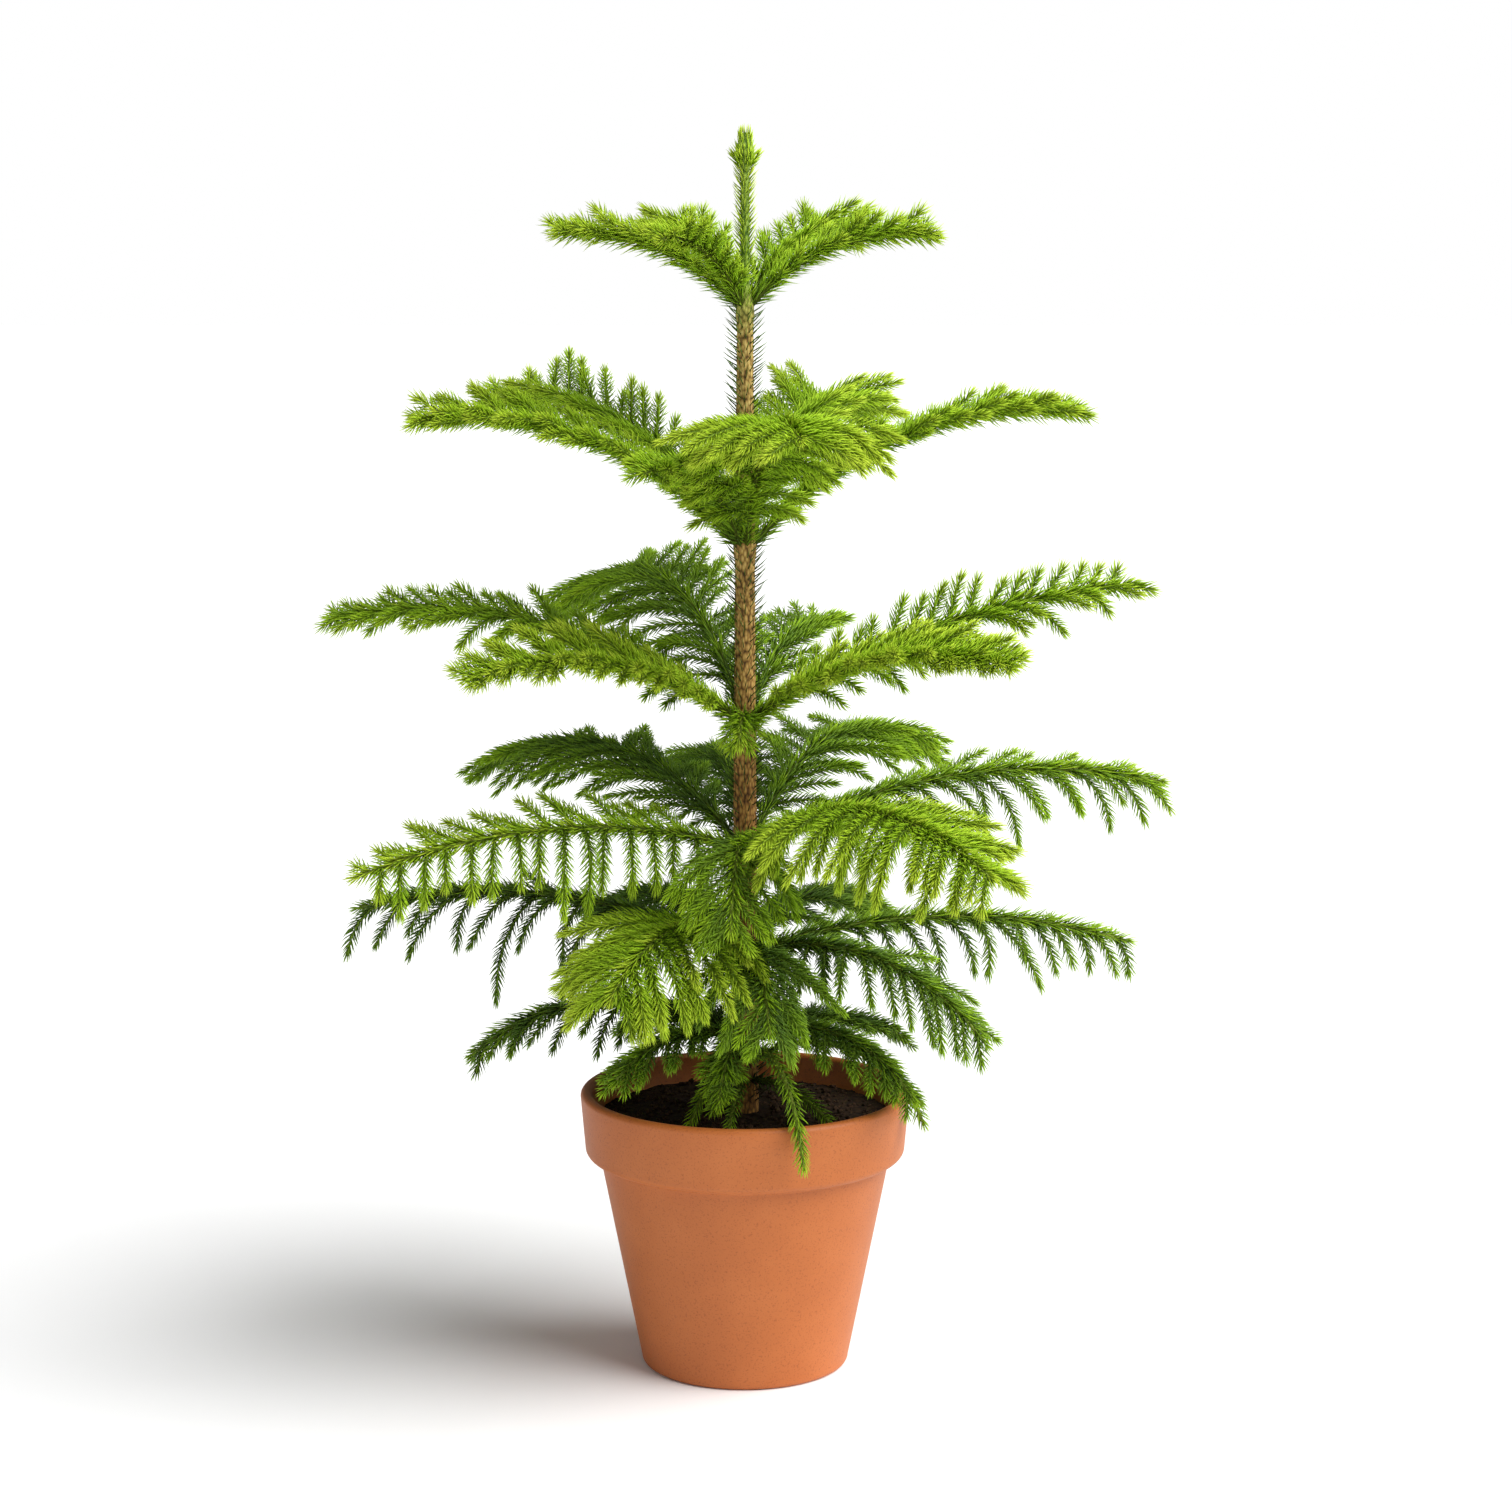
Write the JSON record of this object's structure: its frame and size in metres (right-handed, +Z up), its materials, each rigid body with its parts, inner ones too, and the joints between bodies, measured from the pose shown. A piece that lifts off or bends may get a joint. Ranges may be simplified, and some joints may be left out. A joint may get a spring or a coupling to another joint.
{
  "type": "potted norfolk pine",
  "caption": "Young Norfolk pine with flat feathery branches in tiers round a straight trunk, planted in a tapered terracotta pot with a wide rim band.",
  "frame": {"origin": "centre of the pot's underside, on the surface it stands on", "axes": "+Z up along the trunk; -Y towards the viewer's side, +X to the viewer's right"},
  "size_m": [0.4724, 0.3478, 0.668],
  "materials": {
    "terracotta": "matte",
    "potting_mix": "matte",
    "bark": "matte",
    "needles": "satin"
  },
  "bodies": {
    "root": {"low_sprig_1": "needles", "low_sprig_2": "needles", "low_sprig_3": "needles", "pot": "terracotta", "soil": "potting_mix", "soil_sprig_1": "needles", "soil_sprig_2": "needles", "tier_1_branch_1": "needles", "tier_1_branch_2": "needles", "tier_1_branch_3": "needles", "tier_1_branch_4": "needles", "tier_1_branch_5": "needles", "tier_2_branch_1": "needles", "tier_2_branch_2": "needles", "tier_2_branch_3": "needles", "tier_2_branch_4": "needles", "tier_2_branch_5": "needles", "tier_2_branch_6": "needles", "tier_3_branch_1": "needles", "tier_3_branch_2": "needles", "tier_3_branch_3": "needles", "tier_3_branch_4": "needles", "tier_3_branch_5": "needles", "tier_3_branch_6": "needles", "tier_3_branch_7": "needles", "tier_4_branch_1": "needles", "tier_4_branch_2": "needles", "tier_4_branch_3": "needles", "tier_4_branch_4": "needles", "tier_4_branch_5": "needles", "tier_4_branch_6": "needles", "tier_4_branch_7": "needles", "tier_5_branch_1": "needles", "tier_5_branch_2": "needles", "tier_5_branch_3": "needles", "tier_5_branch_4": "needles", "tier_5_branch_5": "needles", "tier_5_branch_6": "needles", "tier_5_branch_7": "needles", "tier_6_branch_1": "needles", "tier_6_branch_2": "needles", "tier_6_branch_3": "needles", "tier_6_branch_4": "needles", "tier_6_branch_5": "needles", "tier_6_branch_6": "needles", "tier_6_branch_7": "needles", "trunk": "bark"}
  },
  "joints": []
}
